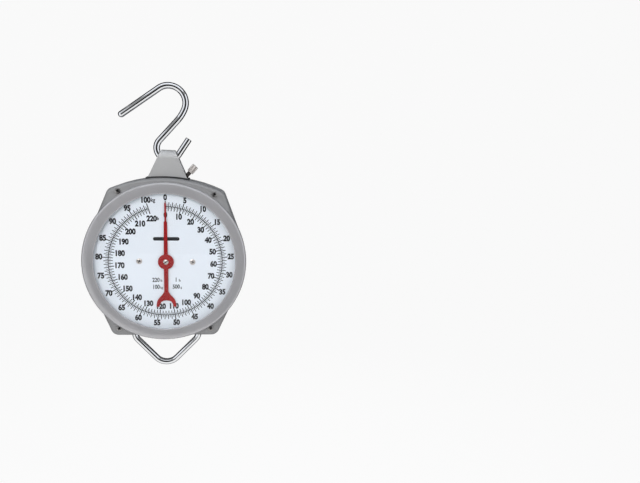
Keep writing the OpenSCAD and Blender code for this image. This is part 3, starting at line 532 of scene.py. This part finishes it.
rubber = moulded_rubber("black_rubber_moulding", (0.03, 0.03, 0.032), 0.6)
seal = rounded_copy("hanger_seal", "top_seal", edge=0.0003)
seal.data.materials.append(rubber)
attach(seal, "case")
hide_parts("hanger_seal")


# Case: two pressings of steel sheet that meet at a seam, with an arched top, round sides, slanted
# corners and a rolled edge. Both are sprayed satin grey with a fine metallic fleck.
case_spray = sprayed_paint(
    "case_spray", (0.262, 0.261, 0.264), roughness=0.45, metallic=0.25, fleck=0.5, orange_peel=0.12)
for node, name in (("front_cover", "front_pressing"), ("rear_cover", "rear_pressing")):
    cover = rounded_copy(node, name)
    cover.data.materials.append(case_spray)
    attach(cover, "case")
    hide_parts(node)


# Bezel: a spun ring with a straight skirt, a round shoulder and a face that falls a little towards the
# lens. It is pushed over the case's collar, sprayed a slightly lighter grey and lacquered. The foot of
# its skirt is darkened with painted shade, for the shadow in its joint with the case.
def lathe(name, centre, profile, closed, segments):
    """A turned piece round an axis along Y. The profile is (radius, depth) from the back to the front.

    A closed profile gives a ring, and an open one a solid piece with flat ends."""
    x, z = centre
    radius, depth = profile[0]
    piece = add_mesh(bpy.ops.mesh.primitive_circle_add, vertices=segments, radius=radius,
        fill_type="NOTHING" if closed else "NGON", location=(x, depth, z), rotation=(math.pi / 2, 0, 0))
    edit_all()
    for next_radius, next_depth in profile[1:] + (profile[:1] if closed else []):
        extrude((0, next_depth - depth, 0))
        grow = next_radius / radius
        bpy.ops.transform.resize(value=(grow, 1, grow), center_override=(x, next_depth, z))
        radius, depth = next_radius, next_depth
    return close_piece(piece, name)


def arc(radius, depth, curve, start, end, steps):
    """Points of a round in a turned profile, with angles in degrees from outwards towards the front."""
    angles = [math.radians(start + (end - start) * step / steps) for step in range(steps + 1)]
    return [(radius + curve * math.cos(angle), depth - curve * math.sin(angle)) for angle in angles]


bezel_low, bezel_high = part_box("bezel_ring")
bezel_radius = bezel_high[0]
bezel_front = bezel_low[1]
bezel_back = bezel_high[1]
dial_height = (bezel_low[2] + bezel_high[2]) / 2
face_width = 0.014
bezel_inner = bezel_radius - face_width
skirt_wall = 0.0024
foot_round = 0.0006
shoulder = 0.0032
lip_round = 0.0012
lip_drop = 0.0018
lens_gap = 0.00005
seat_on_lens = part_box("lens")[0][1] - lens_gap
bezel_profile = [
    (bezel_radius - skirt_wall, bezel_back),
    *arc(bezel_radius - foot_round, bezel_back - foot_round, foot_round, -90, 0, 4),
    *arc(bezel_radius - shoulder, bezel_front + shoulder, shoulder, 0, 84, 14),
    *arc(bezel_inner + lip_round, bezel_front + lip_drop, lip_round, 96, 180, 6),
    (bezel_inner, seat_on_lens),
    (bezel_radius - skirt_wall, seat_on_lens)]
bezel = lathe("bezel_rim", (0, dial_height), bezel_profile, closed=True, segments=256)
# The foot of the skirt gets painted shade, for the shadow in its joint with the case.
bezel.data.materials.append(sprayed_paint(
    "bezel_spray", (0.432, 0.427, 0.441), roughness=0.22, metallic=0.3, fleck=0.4, orange_peel=0.06,
    lacquer=1.0, lacquer_roughness=0.09, painted_shade=(bezel_front + 0.0026, bezel_back - 0.003)))
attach(bezel, "case")
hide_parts("bezel_ring")


# Lens: a flat disc of clear glass, held between the bezel and a rubber gasket on the case's collar.
# The glass is cut plain, and the gasket is a moulded ring.
def clear_glass(name):
    """Clear glass that lets light through to the dial without a dark shadow."""
    material, place = new_material(name)
    glass = place.node("ShaderNodeBsdfPrincipled", inputs={
        "Base Color": (0.98, 0.99, 1, 1), "Roughness": noise(place, 30, 3) * 0.02, "IOR": 1.45,
        "Transmission Weight": 1.0})
    open_air = place.node("ShaderNodeBsdfTransparent")
    shadow, bounce = (place.node("ShaderNodeLightPath", output=f"Is {kind} Ray")
        for kind in ("Shadow", "Diffuse"))
    through = place.node("ShaderNodeClamp", inputs={"Value": shadow + bounce})
    return show(material, place.node("ShaderNodeMixShader", inputs={0: through, 1: glass, 2: open_air}))


def dress(nodes, material):
    """Gives CAD nodes, whose own shape stays, a material."""
    for node in nodes:
        piece = frame["nodes"][node]
        piece.data.materials.clear()
        piece.data.materials.append(material)


dress(["lens"], clear_glass("lens_glass"))
dress(["lens_gasket"], rubber)


# Dial: a flat disc of steel sheet, enamelled hard white with a cold tinge. Two cross-head screws hold
# it on posts in front of the works.
def white_enamel(name, colour):
    """Stoved white enamel, even and half glossy."""
    material, place = new_material(name)
    tone = noise(place, 14, 2)
    return show(material, place.node("ShaderNodeBsdfPrincipled", inputs={
        "Base Color": two_tones(tone, toned(colour, 0.985), colour), "Roughness": 0.35 + tone * 0.08}))


dress(["dial_plate"], white_enamel("dial_enamel", (0.79, 0.835, 0.895)))


# Print on the dial: a circle in black ink, with ticks for half kilograms outside it and for pounds
# inside it. Both run clockwise from the top through 343 degrees. The whole print stands 1.2 degrees
# anticlockwise of upright.
def printing_ink(name, colour):
    """Screen-printed ink, slightly uneven."""
    material, place = new_material(name)
    mottle = noise(place, 900, 2)
    return show(material, place.node("ShaderNodeBsdfPrincipled", inputs={
        "Base Color": two_tones(mottle, colour, toned(colour, 1.5), (0.3, 0.8)),
        "Roughness": 0.45 + mottle * 0.1, "Specular IOR Level": 0.15}))


ink = printing_ink("black_ink", (0.012, 0.012, 0.014))
ink_thickness = 0.00002
ink_lift = 0.00003
print_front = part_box("dial_plate")[0][1] - ink_lift
print_tilt = math.radians(1.2)
full_turn = math.radians(343)
circle_radius = 0.0697
circle_line = 0.0009


def turn_on_dial(angle):
    """Turns what is selected about the middle of the dial."""
    bpy.ops.transform.rotate(value=angle, orient_axis="Y", center_override=(0, print_front, dial_height))


def flat_print(name):
    """Ends editing of a form in the plane of the print. Tilts it as the print is, and gives it thickness."""
    piece = bpy.context.object
    edit_all()
    turn_on_dial(print_tilt)
    bpy.ops.object.mode_set(mode="OBJECT")
    solid = piece.modifiers.new("ink", "SOLIDIFY")
    solid.thickness = ink_thickness
    solid.offset = 0
    bpy.ops.object.modifier_apply(modifier="ink")
    close_piece(piece, name)
    piece.data.materials.append(ink)
    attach(piece, "case")


def add_tick(angle, reach, width):
    """A thin plate from the circle to a radius of the dial, as part of the mesh that is being edited."""
    middle = Vector((0, print_front, dial_height + (circle_radius + reach) / 2))
    bpy.ops.mesh.primitive_plane_add(size=1, rotation=(math.pi / 2, 0, 0), location=middle)
    bpy.ops.transform.resize(value=(width, 1, abs(reach - circle_radius)), center_override=middle)
    turn_on_dial(-angle)


circle = add_mesh(bpy.ops.mesh.primitive_plane_add, size=circle_line, rotation=(math.pi / 2, 0, 0),
    location=(0, print_front, dial_height + circle_radius))
edit_points(circle, lambda place: place.x > 0)
bpy.ops.mesh.spin(steps=240, angle=full_turn, center=(0, print_front, dial_height), axis=(0, -1, 0))
# Ticks: one in so many of them, the radius that it reaches, and its width
half_kilogram_ticks = ((10, 0.0766, 0.0012), (2, 0.0752, 0.0010), (1, 0.0730, 0.0007))
pound_ticks = ((10, 0.0630, 0.0012), (2, 0.0642, 0.0010), (1, 0.0668, 0.0006))
for full_scale, ticks in ((200, half_kilogram_ticks), (220, pound_ticks)):
    for number in range(full_scale + 1):
        reach, width = next((reach, width) for every, reach, width in ticks if number % every == 0)
        add_tick(full_turn * number / full_scale, reach, width)
flat_print("dial_ticks")


# Figures on the dial: kilograms outside the circle each five, pounds inside it each ten, upright and
# in a bold narrow face, with the two units, the capacities and the smallest divisions.
def figure(text, x, z, height, narrow=0.85, weight=0.06):
    """One printed word with figures of a height, its middle across and up from the dial's middle."""
    bpy.ops.object.text_add(location=(x, print_front, dial_height + z), rotation=(math.pi / 2, 0, 0))
    word = bpy.context.object
    word.data.body = text
    word.data.align_x = "CENTER"
    word.data.align_y = "CENTER"
    word.data.offset = weight
    word.data.resolution_u = 4
    height_at_size_one = 0.73
    scale = height / height_at_size_one
    word.scale = (scale * narrow, scale, scale)
    bpy.ops.object.convert(target="MESH")
    keep_place_in_mesh()
    return bpy.context.object


figure_height = 0.0069


def scale_figure(number, full_scale, reach):
    """A figure of one of the two scales, upright at its tick."""
    angle = full_turn * number / full_scale
    return figure(str(number), reach * math.sin(angle), reach * math.cos(angle), figure_height)


kilogram_reach = 0.0808
pound_reach = 0.0589
high_pound_reach = 0.0567
words = [scale_figure(kilogram, 100, kilogram_reach) for kilogram in range(0, 101, 5)]
words += [scale_figure(pound, 220, pound_reach) for pound in range(0, 160, 10)]
words += [scale_figure(pound, 220, high_pound_reach) for pound in range(160, 221, 10)]
# Small words: what they say, their place across and up from the middle, their height and weight
small_words = (
    ("kg", -0.0146, 0.0774, 0.0050, 0.03), ("lb", -0.0094, 0.0545, 0.0042, 0.03),
    ("220", -0.0127, -0.0238, 0.0054, 0.03), ("lb", -0.0061, -0.0246, 0.0032, 0.02),
    ("100", -0.0127, -0.0328, 0.0054, 0.03), ("kg", -0.0061, -0.0336, 0.0032, 0.02),
    ("1", 0.0120, -0.0238, 0.0054, 0.03), ("lb", 0.0165, -0.0246, 0.0032, 0.02),
    ("500", 0.0120, -0.0328, 0.0054, 0.03), ("g", 0.0182, -0.0336, 0.0032, 0.02))
words += [figure(text, x, z, height, 0.8, weight) for text, x, z, height, weight in small_words]
bpy.ops.object.select_all(action="DESELECT")
for word in words:
    word.select_set(True)
bpy.context.view_layer.objects.active = words[0]
bpy.ops.object.join()
flat_print("dial_figures")


# Black bar: a short flat bar with round ends and nothing in it, printed on the dial above the hub in
# the same ink as the figures.
bar_half_width = 0.0023
bar_left = -0.0132
bar_length = 0.0277
bar_height = 0.0290
bar = add_mesh(bpy.ops.mesh.primitive_circle_add, vertices=32, radius=bar_half_width, fill_type="NGON",
    location=(bar_left, print_front, dial_height + bar_height), rotation=(math.pi / 2, 0, 0))
edit_points(bar, lambda place: place.x > bar_left - 1e-6)
bpy.ops.transform.translate(value=(bar_length, 0, 0))
flat_print("dial_bar")


# Screws of the dial: two small cross-head screws with low domed heads, nickel plated. They go through
# the dial into posts on the works.
def turned_metal(name, colour, roughness, marks):
    """Machined or plated metal with fine turning marks and slight changes of tone."""
    material, place = new_material(name)
    tone = noise(place, 60, 2)
    shade = two_tones(tone, toned(colour, 0.85), toned(colour, 1.05))
    bump = place.node("ShaderNodeBump", inputs={
        "Strength": 0.08, "Distance": 0.0001, "Height": noise(place, marks, 3)})
    return show(material, place.node("ShaderNodeBsdfPrincipled", inputs={
        "Base Color": shade, "Metallic": 1.0, "Roughness": roughness + tone * 0.12, "Normal": bump}))


recess_shade = turned_metal("recess_shade", (0.05, 0.05, 0.05), 0.6, 1500)


def domed_head(radius, height, front):
    """The profile of a low domed screw head, from its edge to near its middle."""
    dome = 0.45 * height
    angles = [math.radians(angle) for angle in (0, 15, 30, 45, 60, 75, 86)]
    return [(radius, front + height)] + [
        (radius * math.cos(angle), front + dome * (1 - math.sin(angle))) for angle in angles]


def cut_slots(piece, centre, front, length, width, depth, angles):
    """Cuts straight slots across the front of a head."""
    for angle in angles:
        cutter = add_mesh(bpy.ops.mesh.primitive_cube_add, size=1)
        cutter.scale = (length, 2 * depth, width)
        cutter.rotation_euler = (0, angle, 0)
        cutter.location = (centre[0], front, centre[1])
        cutter.data.materials.append(recess_shade)
        select_only(piece)
        slot = piece.modifiers.new("slot", "BOOLEAN")
        slot.operation = "DIFFERENCE"
        slot.object = cutter
        slot.material_mode = "TRANSFER"
        bpy.ops.object.modifier_apply(modifier="slot")
        bpy.data.objects.remove(cutter)
    bpy.ops.object.shade_smooth_by_angle(angle=round_angle)


def copy_piece(piece, name, shift):
    """A copy of a piece, with its own mesh, moved by a shift."""
    select_only(piece)
    bpy.ops.object.duplicate(linked=False)
    bpy.ops.transform.translate(value=shift)
    keep_place_in_mesh()
    copy = bpy.context.object
    copy.name = name
    return copy


def screw_set(name, node, body, places, material, head, height, shank, slots, slot_width):
    """One screw modelled once and copied to each place: a domed head to the front with slots, and a shank."""
    low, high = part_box(node)
    front, back = low[1], high[1]
    x, z = places[0]
    profile = [(shank / 2, back), (shank / 2, front + height), *domed_head(head / 2, height, front)]
    first = lathe(name, (x, z), profile, closed=False, segments=40)
    first.data.materials.append(material)
    # A cross stays inside the head, and a single slot runs right across it
    slot_length = head * 0.62 if len(slots) > 1 else head * 1.2
    cut_slots(first, (x, z), front, slot_length, slot_width, height * 0.6, slots)
    screws = [first]
    for number, (next_x, next_z) in enumerate(places[1:], 2):
        screws.append(copy_piece(first, f"{name}_{number}", (next_x - x, 0, next_z - z)))
    if len(screws) > 1:
        first.name = f"{name}_1"
    for screw in screws:
        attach(screw, body)
        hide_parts(node)


cross = (math.radians(20), math.radians(110))
nickel = turned_metal("nickel_plate", (0.58, 0.53, 0.50), 0.25, 1500)
dial_screw_head = 0.0072
dial_screw_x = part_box("dial_screws")[1][0] - dial_screw_head / 2
dial_screw_places = [(-dial_screw_x, dial_height), (dial_screw_x, dial_height)]
screw_set("dial_screw", "dial_screws", "case", dial_screw_places, nickel,
    head=dial_screw_head, height=0.0011, shank=0.003, slots=cross, slot_width=0.0009)


# Pointer: stamped from sheet with a needle, an arm, a hub disc and a crescent tail, in red enamel.
# One slotted nickel screw holds it on the spindle.
def red_enamel(name):
    """Stoved red enamel, half glossy."""
    material, place = new_material(name)
    tone = noise(place, 60, 3)
    return show(material, place.node("ShaderNodeBsdfPrincipled", inputs={
        "Base Color": two_tones(tone, (0.27, 0.002, 0.003), (0.31, 0.003, 0.004)),
        "Roughness": 0.3 + tone * 0.1, "Specular IOR Level": 0.15}))


def cut_outline(name, points, front, back):
    """A flat piece of sheet: its outline is drawn by moving one corner from point to point, then filled."""
    x, z = points[0]
    piece = add_mesh(bpy.ops.mesh.primitive_plane_add, size=0.001, location=(x, front, z))
    bpy.ops.object.mode_set(mode="EDIT")
    bpy.ops.mesh.select_mode(type="VERT")
    bpy.ops.mesh.select_all(action="SELECT")
    bpy.ops.mesh.merge(type="CENTER")
    for next_x, next_z in points[1:]:
        extrude((next_x - x, 0, next_z - z))
        x, z = next_x, next_z
    bpy.ops.mesh.select_all(action="SELECT")
    bpy.ops.mesh.edge_face_add()
    extrude((0, back - front, 0))
    return close_piece(piece, name)


# Points across and up from the hub. The right half of the outline is mirrored for the left one
needle_tip = (0, 0.0765)
crescent_notch = (0, -0.0498)
hub_radius = 0.0097
needle_and_arm = [(0.0010, 0.0735), (0.0011, 0.0520), (0.0020, 0.0505), (0.0024, 0.0095)]
hub_angles = [math.radians(angle) for angle in range(76, -75, -10)]
hub = [(hub_radius * math.cos(angle), hub_radius * math.sin(angle)) for angle in hub_angles]
tail_and_crescent = [
    (0.0025, -0.0375), (0.0031, -0.0395), (0.0055, -0.0430), (0.0082, -0.0460), (0.0102, -0.0485),
    (0.0114, -0.0515), (0.0121, -0.0550), (0.0122, -0.0581), (0.0084, -0.0581), (0.0081, -0.0555),
    (0.0073, -0.0533), (0.0057, -0.0514), (0.0034, -0.0502)]
right_half = needle_and_arm + hub + tail_and_crescent
left_half = [(-x, z) for x, z in reversed(right_half)]
pointer_outline = [needle_tip] + right_half + [crescent_notch] + left_half
pointer_low, pointer_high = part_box("pointer")
stamped_pointer = cut_outline("stamped_pointer", [(x, dial_height + z) for x, z in pointer_outline],
    pointer_low[1], pointer_high[1])
edit_all()
turn_on_dial(print_tilt)
bpy.ops.object.mode_set(mode="OBJECT")
break_edges(stamped_pointer, edge=0.00012)
stamped_pointer.data.materials.append(red_enamel("pointer_enamel"))
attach(stamped_pointer, "pointer")
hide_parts("pointer")
screw_set("hub_screw", "pointer_screw", "pointer", [(0, dial_height)], nickel,
    head=0.0064, height=0.0012, shank=0.002, slots=(math.radians(-35),), slot_width=0.0011)


# Screws of the case: cross-head screws at the four corners, of worn nickel-plated steel. They go
# through tubes between the two pressings into the rear one.
case_corners = ((0.05807, 0.08706), (0.0570, -0.08777))
case_screw_places = [(side * x, dial_height + z) for x, z in case_corners for side in (-1, 1)]
screw_set("case_screw", "case_screws", "case", case_screw_places,
    turned_metal("worn_nickel", (0.40, 0.39, 0.38), 0.3, 1500),
    head=0.0068, height=0.0016, shank=0.004, slots=cross, slot_width=0.0012)


# Zero knob: a small knurled knob of warm nickel on a dark screw. It goes down through the seal to a
# threaded block between the sides of the hanger and presses on the zero lever.
dress(["zero_knob"], turned_metal("warm_nickel", (0.95, 0.89, 0.84), 0.42, 1200))
dress(["zero_stem"], turned_metal("dark_screw_steel", (0.16, 0.14, 0.13), 0.35, 2000))


# Works: machined brass, zinc-plated and forged steel parts between the two sides of the hanger, mostly
# hidden by the case, and the two black nylon bushes that the loop's legs run in.
dress(["front_bearing", "rear_bearing", "pinion", "pointer_boss", "rack", "zero_block"],
    turned_metal("machined_brass", (0.60, 0.42, 0.16), 0.25, 1800))
dress(["case_spacers", "frame_standoffs", "frame_pillars", "dial_posts", "rack_guide", "rack_pins", "spindle",
    "link_pin", "lever_pin", "zero_lever", "loop_nuts", "upper_plugs", "lower_plugs", "upper_plug_nuts",
    "lower_plug_nuts"], turned_metal("zinc_plated_steel", (0.50, 0.52, 0.54), 0.3, 1600))
dress(["frame_screws"], nickel)
dress(["crossbar", "upper_yoke"], turned_metal("forged_steel", (0.14, 0.14, 0.145), 0.5, 900))
dress(["leg_bushes"], moulded_rubber("black_nylon", (0.02, 0.02, 0.022), 0.4))


# Springs: two extension springs wound from round wire, screwed onto plugs at both ends.
def spring_middle(node):
    """Where a spring's axis stands across the case."""
    low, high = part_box(node)
    return (low[0] + high[0]) / 2


wire = 0.0038
spring_turns = 16
steps_a_turn = 20
turn_gap = 0.00046
pitch = wire + turn_gap
coil_radius = 0.0102
plug_grip = 0.00995
coil_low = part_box("lower_plugs")[1][2] - plug_grip
left_middle = spring_middle("left_spring")
left_coil = add_mesh(bpy.ops.mesh.primitive_circle_add, vertices=12, radius=wire / 2, fill_type="NGON",
    location=(left_middle + coil_radius, 0, coil_low + wire / 2), rotation=(math.pi / 2, 0, 0))
edit_all()
for step in range(spring_turns * steps_a_turn):
    extrude((0, 0, pitch / steps_a_turn))
    bpy.ops.transform.rotate(value=-math.tau / steps_a_turn, orient_axis="Z",
        center_override=(left_middle, 0, 0))
close_piece(left_coil, "left_coil", math.radians(50))
left_coil.data.materials.append(turned_metal("oiled_spring_steel", (0.20, 0.20, 0.21), 0.3, 1400))
right_coil = copy_piece(left_coil, "right_coil", (spring_middle("right_spring") - left_middle, 0, 0))
for coil, node in ((left_coil, "left_spring"), (right_coil, "right_spring")):
    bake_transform(coil)
    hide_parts(node)
